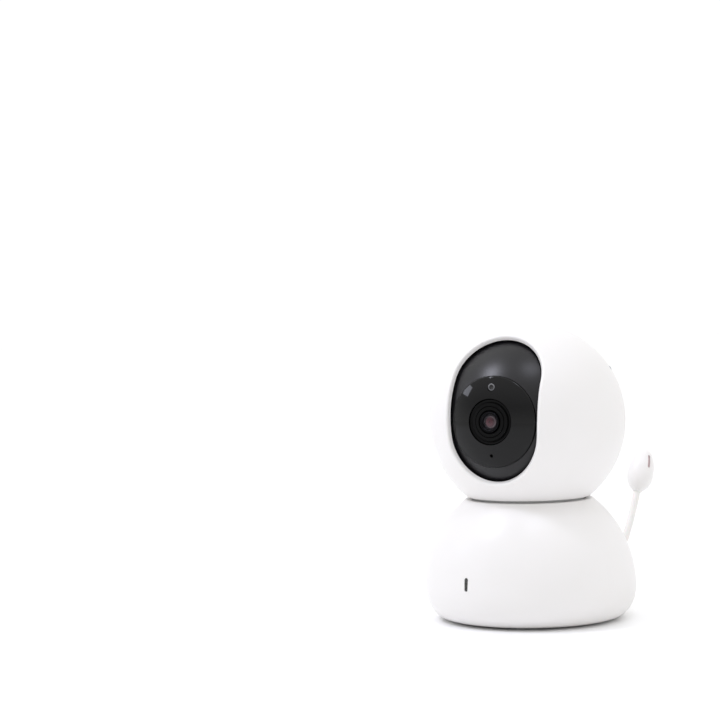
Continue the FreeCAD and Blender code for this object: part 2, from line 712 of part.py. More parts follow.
def window():
    """Smoked dome in the front of the eye, with a round hole for the lens surround."""
    dome_shape = ball(WINDOW_DOME_R).cut(ball(WINDOW_DOME_R - WINDOW_T))
    disc = dome_shape.common(rod_y(WINDOW_R, -50, -10))
    rim = [e for e in disc.Edges if on_ball(e, WINDOW_DOME_R)]
    disc = disc.makeFillet(0.7, rim)
    cuts = [rod_y(BEZEL_R + 0.1, -50, -10), rod_y(1.55, -50, -10, 0, SENSOR_Z),
            rod_y(0.65, -50, -10, 0, MIC_Z)]
    return to_eye(disc.cut(cuts))


def lens_bezel():
    """Black stepped collar round the lens."""
    face = -math.sqrt(BEZEL_DOME_R ** 2 - BEZEL_R ** 2)
    profile = [(4.4, -27.0), (6.0, -27.0), (6.0, face + 3.4), (BEZEL_R, face + 3.4), (BEZEL_R, face + 0.35),
               (BEZEL_R - 0.35, face), (7.5, face + 0.35), (7.35, face - 0.25), (6.15, face - 0.45),
               (6.0, face - 0.05), (5.85, face - 0.6), (4.7, face - 0.75), (4.4, face - 0.4)]
    return to_eye(lathe_y(profile))


def lens_barrel():
    profile = [(GLASS_R, -35.6), (3.4, -36.05), (3.75, -36.05), (BARREL_R, -35.8), (BARREL_R, -22.0),
               (GLASS_R, -22.0)]
    return to_eye(lathe_y(profile))


def lens_glass():
    front = Part.makeSphere(5.2, at(0, -30.4, 0)).common(rod_y(GLASS_R, -36.5, -32.5))
    return to_eye(front)


def lens_holder():
    block = box(-7, 7, -26.6, -19.0, -7, 7)
    block = block.cut(join(rod_y(BARREL_R, -27, -22), rod_y(GLASS_R, -27, -19)))
    return to_eye(block.cut(box(-4.2, 4.2, -20.4, -19.0, -4.2, 4.2)))


def sensor_board():
    return to_eye(box(-16, 16, -19.0, -17.8, -14, 14))


def image_sensor():
    return to_eye(box(-3.6, 3.6, -20.1, -19.0, -3.2, 3.2))


def infrared_board():
    ring = rod_y(16.6, -28.6, -27.4).cut(rod_y(10.0, -28.6, -27.4))
    return to_eye(ring)


def infrared_lamps():
    out = []
    for k in range(8):
        a = math.radians(22.5 + 45 * k)
        x, z = 13.2 * math.cos(a), 13.2 * math.sin(a)
        bulb = Part.makeSphere(1.6, at(x, -30.0, z)).common(rod_y(1.6, -31.4, -30.0, x, z))
        out.append(join(rod_y(1.6, -30.0, -28.6, x, z), bulb))
    return to_eye(group(out))


def light_sensor():
    """Ring and lens of the sensor that switches the night lamps on."""
    face = -math.sqrt(WINDOW_DOME_R ** 2 - SENSOR_Z ** 2)
    profile = [(0, -28.6), (1.45, -28.6), (1.45, face + 0.25), (1.25, face + 0.1), (0.95, face + 0.2),
               (0.8, face + 0.55), (0, face + 0.4)]
    return to_eye(lathe_y(profile).translated(at(0, 0, SENSOR_Z)))


def microphone():
    return to_eye(rod_y(2.0, -30.2, -28.6, 0, MIC_Z))


def tilt_pins():
    """Headed pins, put in from inside the eye, that turn in the front shell's bearings."""
    inside = EYE_HALF_W - WALL
    right = join(rod_x(PIVOT_R, inside, BALL_R - 4.6), rod_x(3.4, inside - 1.2, inside))
    left = right.mirror(O, X)
    return to_eye(group([right, left]))


# ---- temperature probe ----

def cord_points():
    return [at(0, y, z) for y, z in CORD_ROUTE]


def cord_path(points):
    """Straight runs joined by arcs that touch them, each as large as its runs allow."""
    edges = []
    radii = []
    start = points[0]
    for before, corner, after in zip(points, points[1:], points[2:]):
        back = before - corner
        ahead = after - corner
        reach = 0.45 * min(back.Length, ahead.Length)
        half_turn = (math.pi - back.getAngle(ahead)) / 2
        radius = reach / math.tan(half_turn)
        back.normalize()
        ahead.normalize()
        leave = corner + back * reach
        enter = corner + ahead * reach
        inward = back + ahead
        inward.normalize()
        middle = corner + inward * (radius / math.cos(half_turn) - radius)
        edges.append(line(start, leave))
        edges.append(Part.Arc(leave, middle, enter).toShape())
        radii.append(radius)
        start = enter
    edges.append(line(start, points[-1]))
    return Part.Wire(edges), radii


def probe_cord():
    points = cord_points()
    wire, radii = cord_path(points)
    first = points[1] - points[0]
    section = Part.Wire(Part.makeCircle(CORD_R, points[0], first))
    tube = wire.makePipeShell([section], True, True)
    print("cord arc radii", [round(r, 1) for r in radii], "length", round(wire.Length, 1))
    print("cord volume over section times length",
          round(tube.Volume / (math.pi * CORD_R ** 2 * wire.Length), 4))
    return tube


def bulb_frame(shape):
    """A piece made along +Z from the bulb's foot, set on the end of the cord."""
    (y0, z0), (y1, z1) = CORD_ROUTE[-2], CORD_ROUTE[-1]
    lean = math.degrees(math.atan2(y1 - y0, z1 - z0))
    return shape.rotated(O, X, -lean).translated(at(0, y1, z1))


def egg(inset):
    """Blunt below and long above, with its foot at the origin."""
    r = BULB_R - inset
    waist = at(0, 0, BULB_LOW)
    edges = []
    for height, sign in ((BULB_LOW, -1), (BULB_HIGH, 1)):
        half = Part.Ellipse(at(0, 0, BULB_LOW + sign * (height - inset)), at(r, 0, BULB_LOW), waist)
        edges.append(Part.ArcOfEllipse(half, 0, math.pi / 2).toShape())
    edges.append(line(at(0, 0, inset), at(0, 0, BULB_LOW + BULB_HIGH - inset)))
    return revolve_z(edges)


def bulb_shell():
    collar = lathe_z([(0, 0), (1.9, 0), (2.3, 0.4), (2.3, 2.0), (0, 2.0)])
    return join(egg(0), collar).cut(egg(1.0))


def bulb_cup():
    return bulb_frame(bulb_shell().common(box(-9, 9, -9, 9, -1, BULB_LOW)))


def bulb_cap():
    """Upper half, with the slot that lets room air reach the bead."""
    cap = bulb_shell().common(box(-9, 9, -9, 9, BULB_LOW, 30))
    low, high, w = BULB_LOW + 3.6, BULB_LOW + 8.1, 0.6
    slot = join(box(-w, w, -9, 0, low, high), rod_y(w, -9, 0, 0, low), rod_y(w, -9, 0, 0, high))
    return bulb_frame(cap.cut(turned(slot, BULB_SLOT_AZ)))


def thermistor():
    """Glass bead on its potted stub, in the middle of the bulb."""
    stub = rod_z(0.9, 1.13, BULB_LOW + 1)
    return bulb_frame(join(stub, Part.makeSphere(1.5, at(0, 0, BULB_LOW + 1.8))))


NODES = [
    base_shell, base_plate, rubber_feet, base_screws, ballast_weight, main_board, board_chips,
    power_jack, power_switch_case, power_switch_knob, pair_switch, pair_button, speaker_frame,
    speaker_cone, speaker_magnet, status_light_pipe, status_led, probe_grommet, bearing_bridge,
    bridge_screws, thrust_washer, pan_motor, pan_motor_screws, pan_motor_shaft, pan_pinion,
    pan_gear, pan_retainer, turntable, turntable_screws, head_front_shell, head_rear_shell,
    shell_screws, tilt_bracket, tilt_motor, tilt_motor_screws, tilt_motor_shaft, tilt_pinion,
    tilt_gear, tilt_pins, wire_harness, eye_cover, eye_back_plate, eye_screws, window,
    lens_bezel, lens_barrel, lens_glass, lens_holder, sensor_board, image_sensor,
    infrared_board, infrared_lamps, light_sensor, microphone, probe_cord, bulb_cup, bulb_cap,
    thermistor,
]

os.makedirs("parts", exist_ok=True)
for make in NODES:
    shape = make()
    shape.exportStep("parts/" + make.__name__ + ".step")
    state = "valid" if shape.isValid() else "not valid"
    print(make.__name__, len(shape.Solids), "solids,", state, round(shape.Volume, 1), "mm3")
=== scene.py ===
import json
import math

import bmesh
import bpy
from mathutils import Matrix, Vector


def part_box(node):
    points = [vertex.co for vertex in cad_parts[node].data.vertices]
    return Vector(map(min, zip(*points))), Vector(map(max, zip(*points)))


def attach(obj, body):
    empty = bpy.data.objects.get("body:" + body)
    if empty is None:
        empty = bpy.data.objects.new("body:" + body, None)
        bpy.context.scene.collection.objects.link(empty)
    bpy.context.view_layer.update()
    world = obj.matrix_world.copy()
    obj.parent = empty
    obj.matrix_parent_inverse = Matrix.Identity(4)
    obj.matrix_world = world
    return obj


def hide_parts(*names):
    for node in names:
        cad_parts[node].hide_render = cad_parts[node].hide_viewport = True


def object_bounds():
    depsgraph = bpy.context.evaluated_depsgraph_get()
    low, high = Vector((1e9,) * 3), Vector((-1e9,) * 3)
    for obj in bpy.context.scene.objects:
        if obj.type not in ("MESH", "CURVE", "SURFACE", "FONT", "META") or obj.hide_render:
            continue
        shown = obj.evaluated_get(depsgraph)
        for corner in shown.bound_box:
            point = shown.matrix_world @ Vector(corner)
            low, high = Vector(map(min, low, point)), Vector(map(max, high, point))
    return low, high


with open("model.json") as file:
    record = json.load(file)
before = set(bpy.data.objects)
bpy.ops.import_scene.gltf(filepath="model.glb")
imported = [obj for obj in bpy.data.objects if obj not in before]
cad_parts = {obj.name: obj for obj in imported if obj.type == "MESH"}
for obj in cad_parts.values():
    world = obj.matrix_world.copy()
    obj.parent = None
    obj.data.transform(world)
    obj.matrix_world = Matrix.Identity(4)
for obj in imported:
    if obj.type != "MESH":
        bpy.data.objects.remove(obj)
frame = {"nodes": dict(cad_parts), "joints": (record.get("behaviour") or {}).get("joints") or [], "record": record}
cadLow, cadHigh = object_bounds()
nodes = frame["nodes"]
scene = bpy.context.scene
mm = 0.001
print("frame loaded:", len(nodes), "nodes")


# places that everything below starts from

joints = {j["name"]: j for j in frame["joints"]}
ballCentre = Vector(joints["eye_tilt"]["pos_m"])
tiltAxis = Vector(joints["eye_tilt"]["axis"])


def middle(node):
    low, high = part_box(node)
    return (low + high) / 2


lensAxis = (middle("lens_glass") - ballCentre).normalized()      # points out of the lens
eyeUp = lensAxis.cross(tiltAxis).normalized()
if eyeUp.z < 0:
    eyeUp = -eyeUp


# camera: angles are seen from the front of the base, lengths in metres

cameraValues = {
    "aroundToTheRight": 36.53,      # degrees
    "above": 3.28,
    "roll": -1.07,
    "distance": 0.800,              # to the middle of the ball
    "lens": 99.5,                   # mm, on a 36 mm sensor
    "aimLeft": 4.80,                # the ball sits off the middle of the frame
    "aimUp": 1.72,
}


def makeCamera(v):
    around, above = math.radians(v["aroundToTheRight"]), math.radians(v["above"])
    back = Vector((math.sin(around) * math.cos(above), -math.cos(around) * math.cos(above),
                   math.sin(above)))
    right = Vector((math.cos(around), math.sin(around), 0))
    up = back.cross(right)
    turn = Matrix((right, up, back)).transposed()
    turn = turn @ Matrix.Rotation(math.radians(v["roll"]), 3, "Z")
    turn = turn @ Matrix.Rotation(math.radians(v["aimLeft"]), 3, "Y")
    turn = turn @ Matrix.Rotation(math.radians(v["aimUp"]), 3, "X")
    data = bpy.data.cameras.new("camera")
    data.lens = v["lens"]
    data.sensor_width = 36
    data.clip_start, data.clip_end = 0.01, 50
    cam = bpy.data.objects.new("camera", data)
    scene.collection.objects.link(cam)
    cam.matrix_world = Matrix.Translation(ballCentre + back * v["distance"]) @ turn.to_4x4()
    scene.camera = cam


makeCamera(cameraValues)
print("camera placed")


# nodes and colours

def linear(hexColour):
    channels = [int(hexColour[i:i + 2], 16) / 255 for i in (1, 3, 5)]
    return [c / 12.92 if c <= 0.04045 else ((c + 0.055) / 1.055) ** 2.4 for c in channels] + [1.0]


def addNode(tree, kind, settings=None, links=None):
    # settings are sockets' values or the node's own properties, links are {socket: output to take}
    node = tree.nodes.new("ShaderNode" + kind)
    for name, value in (settings or {}).items():
        if isinstance(name, int) or name in node.inputs:
            node.inputs[name].default_value = value
        else:
            setattr(node, name, value)
    for name, output in (links or {}).items():
        tree.links.new(output, node.inputs[name])
    return node


def startMaterial(name, settings):
    # the shader with its fixed values, and the place on the piece in metres
    material = bpy.data.materials.new(name)
    material.use_nodes = True
    tree = material.node_tree
    tree.nodes.clear()
    shader = addNode(tree, "BsdfPrincipled", settings)
    addNode(tree, "OutputMaterial", {}, {"Surface": shader.outputs["BSDF"]})
    place = addNode(tree, "TexCoord").outputs["Object"]
    return material, tree, shader, place


def grain(tree, place, size, detail=2.0):
    # noise whose lumps are about size millimetres across
    noise = addNode(tree, "TexNoise", {"Scale": 1 / (size * mm), "Detail": detail}, {"Vector": place})
    return noise.outputs["Fac"]


def spread(tree, source, low, high):
    # stretches the middle of a pattern over low to high
    ramp = addNode(tree, "MapRange", {"From Min": 0.3, "From Max": 0.7, "To Min": low, "To Max": high},
                   {"Value": source})
    return ramp.outputs["Result"]


def blendColours(tree, source, first, second):
    mix = addNode(tree, "Mix", {"data_type": "RGBA", 6: linear(first), 7: linear(second)}, {0: source})
    return mix.outputs[2]


def relief(tree, shader, height, depth, strength=1.0):
    # depth is the real height of the pattern in millimetres
    bump = addNode(tree, "Bump", {"Strength": strength, "Distance": depth * mm}, {"Height": height})
    tree.links.new(bump.outputs["Normal"], shader.inputs["Normal"])


def alongLens(tree, place):
    # the same place measured from the ball's centre, with Z out of the lens
    rows = Matrix((eyeUp.cross(lensAxis), eyeUp, lensAxis))
    settings = {"Location": -(rows @ ballCentre), "Rotation": rows.to_euler()}
    return addNode(tree, "Mapping", settings, {"Vector": place}).outputs["Vector"]


def fromLensAxis(tree, place, centre=None):
    # distance in metres from the lens's axis, or from a line beside it through centre
    across = (centre or ballCentre) - ballCentre
    shift = (-across.dot(eyeUp.cross(lensAxis)), -across.dot(eyeUp), 0)
    flat = addNode(tree, "Mapping", {"Location": shift, "Scale": (1, 1, 0)},
                   {"Vector": alongLens(tree, place)})
    length = addNode(tree, "VectorMath", {"operation": "LENGTH"}, {0: flat.outputs["Vector"]})
    return length.outputs["Value"]


def waves(tree, distance, pitch):
    # a sine along a distance, one wave every pitch millimetres
    turns = addNode(tree, "Math", {"operation": "MULTIPLY", 1: math.tau / (pitch * mm)}, {0: distance})
    return addNode(tree, "Math", {"operation": "SINE"}, {0: turns.outputs[0]}).outputs[0]


# white ABS moulded in a spark-eroded tool: satin, soft-edged highlights, a trace of warmth

whiteAbsValues = {
    "colour": "#ebe9e8",
    "thickWall": "#e7e5e3",       # where the wall is thicker the white is a little deeper
    "flow": 28,                   # mm, slow change along the flow of the plastic
    "spark": 0.3,                 # mm, real pits are near 0.05 and too fine to show
    "sparkDepth": 0.004,
    "roughness": (0.33, 0.41),
}


def mouldedAbsWhite(v):
    material, tree, shader, place = startMaterial("mouldedAbsWhite", {
        "IOR": 1.53, "Subsurface Weight": 0.06, "Subsurface Radius": (0.9, 0.8, 0.7),
        "Subsurface Scale": 0.8 * mm})
    flow = grain(tree, place, v["flow"])
    spark = grain(tree, place, v["spark"], 4.0)
    tree.links.new(blendColours(tree, flow, v["colour"], v["thickWall"]), shader.inputs["Base Color"])
    tree.links.new(spread(tree, spark, *v["roughness"]), shader.inputs["Roughness"])
    relief(tree, shader, spark, v["sparkDepth"])
    return material


# smoked polycarbonate, moulded and lightly textured: near black, with blurred grey reflections

smokedShellValues = {
    "colour": "#0f0e11",
    "deep": "#0b0a0d",
    "flow": 18,
    "texture": 0.25,              # mm, drawn coarser than the real 0.08
    "textureDepth": 0.0012,
    "roughness": (0.31, 0.36),
}


def mouldedSmokedPolycarbonate(v):
    material, tree, shader, place = startMaterial("mouldedSmokedPolycarbonate", {
        "IOR": 1.58, "Specular IOR Level": 0.32})
    flow = grain(tree, place, v["flow"])
    texture = grain(tree, place, v["texture"], 3.0)
    tree.links.new(blendColours(tree, flow, v["colour"], v["deep"]), shader.inputs["Base Color"])
    tree.links.new(spread(tree, texture, *v["roughness"]), shader.inputs["Roughness"])
    relief(tree, shader, texture, v["textureDepth"])
    return material


# cast acrylic, dyed to pass infrared and flame polished: mirror-sharp highlights on near black

smokedWindowValues = {
    "colour": "#0a0a0a",
    "edge": "#0d0d0e",
    "flow": 9,
    "swirl": 0.6,                 # mm, polishing swirls
    "swirlDepth": 0.0006,
    "roughness": (0.035, 0.07),
}


def polishedSmokedAcrylic(v):
    material, tree, shader, place = startMaterial("polishedSmokedAcrylic", {
        "IOR": 1.49, "Specular IOR Level": 0.25})
    flow = grain(tree, place, v["flow"])
    swirl = grain(tree, place, v["swirl"], 5.0)
    tree.links.new(blendColours(tree, flow, v["colour"], v["edge"]), shader.inputs["Base Color"])
    tree.links.new(spread(tree, swirl, *v["roughness"]), shader.inputs["Roughness"])
    relief(tree, shader, swirl, v["swirlDepth"])
    return material


# black ABS, moulded with light-trap rings: swallows light, a thin glint on each step; ring tops carry a painted
# glint

lensBezelValues = {
    "colour": "#050505",
    # ring tops painted a shade lighter than the grooves: a painted glint on the real ring relief
    "paintedRingGlint": "#090909",
    "ringPitch": 0.42,            # mm
    "ringDepth": 0.02,
    "roughness": (0.38, 0.5),
}


def mouldedBlackRings(v):
    material, tree, shader, place = startMaterial("mouldedBlackRings", {
        "IOR": 1.53, "Specular IOR Level": 0.08})
    rings = waves(tree, fromLensAxis(tree, place), v["ringPitch"])
    height = addNode(tree, "MapRange", {"From Min": -1.0}, {"Value": rings}).outputs["Result"]
    tree.links.new(blendColours(tree, height, v["colour"], v["paintedRingGlint"]), shader.inputs["Base Color"])
    fine = grain(tree, place, 0.2, 3.0)
    tree.links.new(spread(tree, fine, *v["roughness"]), shader.inputs["Roughness"])
    relief(tree, shader, height, v["ringDepth"], 0.5)
    return material


# aluminium, turned and anodised black: fine tool lines round the axis, a thin glint on the chamfer

lensBarrelValues = {
    "colour": "#1d1d1f",
    "line": "#0f0f11",
    "linePitch": 0.16,            # mm, the tool's feed
    "lineDepth": 0.004,
    "roughness": (0.28, 0.4),
}


def turnedAnodisedAluminium(v):
    material, tree, shader, place = startMaterial("turnedAnodisedAluminium", {"Metallic": 1.0})
    lines = waves(tree, fromLensAxis(tree, place), v["linePitch"])
    height = addNode(tree, "MapRange", {"From Min": -1.0}, {"Value": lines}).outputs["Result"]
    tree.links.new(blendColours(tree, height, v["line"], v["colour"]), shader.inputs["Base Color"])
    tree.links.new(spread(tree, grain(tree, place, 0.3), *v["roughness"]), shader.inputs["Roughness"])
    relief(tree, shader, height, v["lineDepth"])
    return material


# optical glass with a magenta anti-reflection coating over a dark iris

lensGlassValues = {
    "zones": [                    # mm from the axis: dark iris, maroon coating, grey rim
        (0.0, "#050203"), (0.35, "#0a0406"), (0.6, "#34141e"), (1.35, "#2c111a"),
        (1.8, "#20131a"), (1.95, "#1b1719"), (2.1, "#454246"), (2.9, "#3f3d41")],
    "smear": 0.9,
    "fixed": {"IOR": 1.52, "Specular Tint": linear("#ffb3c4"), "Coat Weight": 0.5,
              "Coat Roughness": 0.01},
    "roughness": (0.012, 0.03),
}


# epoxy light sensor: a dark tinted dome, with a pale ring round it that is a painted highlight

lightSensorPaintedHighlightValues = {
    # the pale stops at 0.95 and 1.3 mm paint a highlight ring; the dark stops are the dome's own tint
    "zones": [(0.0, "#111112"), (0.8, "#1a1a1b"), (0.95, "#5c5c5f"), (1.3, "#6f6f72"), (1.48, "#2c2c2d")],
    "smear": 0.7,
    "fixed": {"IOR": 1.55},
    "roughness": (0.10, 0.2),
}


def zonedByRadius(name, v, centre=None):
    material, tree, shader, place = startMaterial(name, v["fixed"])
    reach = v["zones"][-1][0]
    distance = fromLensAxis(tree, place, centre)
    share = addNode(tree, "MapRange", {"From Max": reach * mm}, {"Value": distance})
    ramp = addNode(tree, "ValToRGB", {}, {"Fac": share.outputs["Result"]})
    stops = ramp.color_ramp.elements
    while len(stops) < len(v["zones"]):
        stops.new(1.0)
    for stop, (radius, colour) in zip(stops, v["zones"]):
        stop.position = radius / reach
        stop.color = linear(colour)
    tree.links.new(ramp.outputs["Color"], shader.inputs["Base Color"])
    smear = grain(tree, place, v["smear"])
    tree.links.new(spread(tree, smear, *v["roughness"]), shader.inputs["Roughness"])
    return material


# the plainer plastics and metals differ only in these values

plainValues = {
    "mouldedLightPipe": {         # frosted polycarbonate, dark with its lamp off
        "first": "#2d2e2a", "second": "#232421", "size": 1.2, "roughness": (0.22, 0.34), "depth": 0.004,
        "fixed": {"IOR": 1.58}},
    "mouldedAbsGrey": {           # satin grey ABS
        "first": "#c9c9c8", "second": "#c0c0bf", "size": 6, "roughness": (0.36, 0.46), "depth": 0.004,
        "fixed": {"IOR": 1.53}},
    "mouldedAcetal": {            # waxy, slightly translucent white
        "first": "#ecebe2", "second": "#e2e0d4", "size": 5, "roughness": (0.28, 0.36), "depth": 0.003,
        "fixed": {"IOR": 1.48, "Subsurface Weight": 0.15, "Subsurface Scale": 1.2 * mm}},
    "mouldedGlassNylon": {        # black nylon with pale glass fibres near the skin
        "first": "#1d1e20", "second": "#2b2c2e", "size": 0.6, "roughness": (0.42, 0.62), "depth": 0.012,
        "fixed": {"IOR": 1.53}},
    "pressedSiliconeRubber": {    # dull grey, holds a little dust
        "first": "#6f7072", "second": "#86878a", "size": 0.9, "roughness": (0.62, 0.82), "depth": 0.02,
        "fixed": {"IOR": 1.43}},
    "extrudedWhitePvc": {         # satin jacket, a little softer and yellower than the shell
        "first": "#eceae7", "second": "#e9e7e3", "size": 9, "roughness": (0.38, 0.46), "depth": 0.002,
        "fixed": {"IOR": 1.53, "Subsurface Weight": 0.08, "Subsurface Scale": 0.6 * mm}},
    "zincPlatedSteel": {          # bright blue-white plating with a cloudy grain
        "first": "#c3c6ca", "second": "#9a9da3", "size": 0.5, "roughness": (0.22, 0.42), "depth": 0.004,
        "fixed": {"Metallic": 1.0}},
    "sinteredMagnet": {           # nickel on a pressed block, for magnet, weight and microphone can
        "first": "#a9a8a4", "second": "#8b8a86", "size": 0.8, "roughness": (0.3, 0.46), "depth": 0.006,
        "fixed": {"Metallic": 1.0}},
    "mouldedEpoxy": {             # chip bodies, matt black with a fine grit
        "first": "#191a1b", "second": "#232425", "size": 0.25, "roughness": (0.5, 0.68), "depth": 0.01,
        "fixed": {"IOR": 1.55}},
    "castClearEpoxy": {           # lamp domes
        "first": "#dfe3e6", "second": "#cdd4d9", "size": 1.5, "roughness": (0.04, 0.1), "depth": 0.001,
        "fixed": {"IOR": 1.52, "Transmission Weight": 0.6}},
    "dippedBeadGlass": {          # amber glass over the thermistor
        "first": "#7c4a2b", "second": "#5d3520", "size": 0.9, "roughness": (0.08, 0.16), "depth": 0.004,
        "fixed": {"IOR": 1.52}},
}


def plainMaterial(name, v):
    material, tree, shader, place = startMaterial(name, v["fixed"])
    pattern = grain(tree, place, v["size"], 5.0)
    share = spread(tree, pattern, 0.0, 1.0)
    tree.links.new(blendColours(tree, share, v["first"], v["second"]), shader.inputs["Base Color"])
    tree.links.new(spread(tree, pattern, *v["roughness"]), shader.inputs["Roughness"])
    relief(tree, shader, pattern, v["depth"])
    return material


# deep-drawn nickel-plated steel: faint drawing lines up the can

motorCanValues = {
    "colour": "#b4b2ad",
    "line": "#8d8b87",
    "linePitch": 0.5,             # mm
    "lineDepth": 0.004,
    "roughness": (0.26, 0.4),
}


def drawnNickelSteel(v):
    material, tree, shader, place = startMaterial("drawnNickelSteel", {"Metallic": 1.0})
    stretched = addNode(tree, "Mapping", {"Scale": (0.08, 0.08, 1.0)}, {"Vector": place}).outputs["Vector"]
    lines = grain(tree, stretched, v["linePitch"], 3.0)
    share = spread(tree, lines, 0.0, 1.0)
    tree.links.new(blendColours(tree, share, v["line"], v["colour"]), shader.inputs["Base Color"])
    tree.links.new(spread(tree, lines, *v["roughness"]), shader.inputs["Roughness"])
    relief(tree, shader, lines, v["lineDepth"])
    return material


# glass-fibre board under green solder mask: darker between the tracks, gold pads, faint weave

boardValues = {
    "mask": "#1d5a38",
    "track": "#2c7a4d",
    "pad": "#c9a24b",
    "trackPitch": 1.3,            # mm
    "trackWidth": 0.12,           # share of the pitch
    "padPitch": 2.6,
    "padRadius": 0.16,            # share of the pitch
    "weave": 0.6,
    "weaveDepth": 0.01,
    "roughness": 0.32,
}


def solderMaskedBoard(v):
    material, tree, shader, place = startMaterial("solderMaskedBoard", {
        "IOR": 1.5, "Roughness": v["roughness"]})
    tracks = addNode(tree, "TexBrick", {
        "Scale": 1 / (v["trackPitch"] * mm), "Mortar Size": v["trackWidth"], "Brick Width": 2.5,
        "Row Height": 0.5, "Color1": linear(v["mask"]), "Color2": linear(v["mask"]),
        "Mortar": linear(v["track"])},
        {"Vector": place})
    pads = addNode(tree, "TexVoronoi", {"Scale": 1 / (v["padPitch"] * mm), "Randomness": 0.6},
                   {"Vector": place})
    isPad = addNode(tree, "Math", {"operation": "LESS_THAN", 1: v["padRadius"]},
                    {0: pads.outputs["Distance"]})
    colour = addNode(tree, "Mix", {"data_type": "RGBA", 7: linear(v["pad"])},
                     {0: isPad.outputs[0], 6: tracks.outputs["Color"]})
    tree.links.new(colour.outputs[2], shader.inputs["Base Color"])
    tree.links.new(isPad.outputs[0], shader.inputs["Metallic"])
    weave = addNode(tree, "TexChecker", {"Scale": 1 / (v["weave"] * mm)}, {"Vector": place})
    relief(tree, shader, weave.outputs["Fac"], v["weaveDepth"])
    return material


# pressed paper pulp: matt, fibrous, dark grey

speakerPaperValues = {
    "pulp": "#2a2a2b",
    "fibre": "#3b3a39",
    "fibreLength": 1.4,           # mm
    "fibreDepth": 0.05,
    "curlSize": 3,                # mm, how often the fibres turn
    "curl": 2,                    # mm, how far
    "roughness": 0.85,
}


def pressedPaperPulp(v):
    material, tree, shader, place = startMaterial("pressedPaperPulp", {"Roughness": v["roughness"]})
    warp = addNode(tree, "TexNoise", {"Scale": 1 / (v["curlSize"] * mm), "Detail": 2.0}, {"Vector": place})
    bent = addNode(tree, "VectorMath", {"operation": "MULTIPLY_ADD", 1: [v["curl"] * mm] * 3},
                   {0: warp.outputs["Color"], 2: place})
    fibres = addNode(tree, "Mapping", {"Scale": (1.0, 0.25, 1.0)}, {"Vector": bent.outputs["Vector"]})
    pattern = grain(tree, fibres.outputs["Vector"], v["fibreLength"] / 4, 4.0)
    share = spread(tree, pattern, 0.0, 1.0)
    tree.links.new(blendColours(tree, share, v["pulp"], v["fibre"]), shader.inputs["Base Color"])
    relief(tree, shader, pattern, v["fibreDepth"])
    return material


plain = {name: plainMaterial(name, v) for name, v in plainValues.items()}
finishes = {                      # the record's material slots
    "white_shell": mouldedAbsWhite(whiteAbsValues),
    "smoked_shell": mouldedSmokedPolycarbonate(smokedShellValues),
    "smoked_window": polishedSmokedAcrylic(smokedWindowValues),
    "lens_black": mouldedBlackRings(lensBezelValues),
    "lens_metal": turnedAnodisedAluminium(lensBarrelValues),
    "coated_glass": zonedByRadius("coatedOpticalGlass", lensGlassValues),
    "light_guide": plain["mouldedLightPipe"],
    "grey_plastic": plain["mouldedAbsGrey"],
    "acetal": plain["mouldedAcetal"],
    "black_plastic": plain["mouldedGlassNylon"],
    "soft_rubber": plain["pressedSiliconeRubber"],
    "cord_jacket": plain["extrudedWhitePvc"],
    "zinc_steel": plain["zincPlatedSteel"],
    "motor_steel": drawnNickelSteel(motorCanValues),
    "circuit_board": solderMaskedBoard(boardValues),
    "chip_black": plain["mouldedEpoxy"],
    "speaker_paper": pressedPaperPulp(speakerPaperValues),
    "lamp_clear": plain["castClearEpoxy"],
    "bead_glass": plain["dippedBeadGlass"],
}
ownFinish = {                     # nodes whose finish differs from the rest of their slot
    "light_sensor": zonedByRadius("castSensorEpoxyPaintedHighlight", lightSensorPaintedHighlightValues, middle("light_sensor")),
    "speaker_magnet": plain["sinteredMagnet"],
    "ballast_weight": plain["sinteredMagnet"],
    "microphone": plain["sinteredMagnet"],
}


def paint(piece, material):
    piece.data.materials.clear()
    piece.data.materials.append(material)


for part in frame["record"]["subparts"]:
    name = part["node"]
    paint(nodes[name], ownFinish.get(name, finishes[part["material_slot"]]))
print("materials made:", len(bpy.data.materials))


# probe cord: a short stiff lead that holds its bend and stands up behind the base

probeCordValues = {
    "route": [(0, 43.2, 14.9), (0, 49.8, 15.0), (0, 57.8, 16.2), (0, 64.7, 20.0), (0, 69.3, 26.0),
              (0, 75.1, 36.9), (0, 77.9, 43.7)],       # mm
    "thickness": 3.0,
    "length": 0.0496,                                  # metres
    "rides": ["probe_grommet", "bulb_cup", "bulb_cap", "thermistor"],
}


def makeProbeCord(v, onIt):
    curve = bpy.data.curves.new("probeCord", "CURVE")
    curve.dimensions = "3D"
    curve.bevel_depth = v["thickness"] / 2 * mm
    curve.bevel_resolution = 8
    curve.resolution_u = 24
    curve.use_fill_caps = True
    spline = curve.splines.new("NURBS")
    spline.points.add(len(v["route"]) - 1)
    for point, place in zip(spline.points, v["route"]):
        point.co = [c * mm for c in place] + [1.0]
    spline.order_u = 3
    spline.use_endpoint_u = True
    cord = bpy.data.objects.new("probeCord", curve)
    scene.collection.objects.link(cord)
    paint(cord, finishes["cord_jacket"])
    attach(cord, "base")
    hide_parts("probe_cord")


# felt filter just inside the bulb's slot: a narrow strip of the egg, set in from its surface

bulbFilterValues = {
    "waist": 7.4, "tip": 11.8, "radius": 5.5,      # mm, the bulb's shape from its foot
    "inset": 0.6, "thickness": 0.4,
    "azimuth": 68, "halfAngle": 7.5,               # degrees, round the bulb from the front
    "from": 10.2, "to": 16.2,                      # mm from the foot
    "rows": 12, "columns": 6,
}

bulbFeltValues = {
    "first": "#c9b3b4", "second": "#b39c9f", "size": 0.35, "roughness": (0.8, 0.95), "depth": 0.03,
    "fixed": {"IOR": 1.45}}


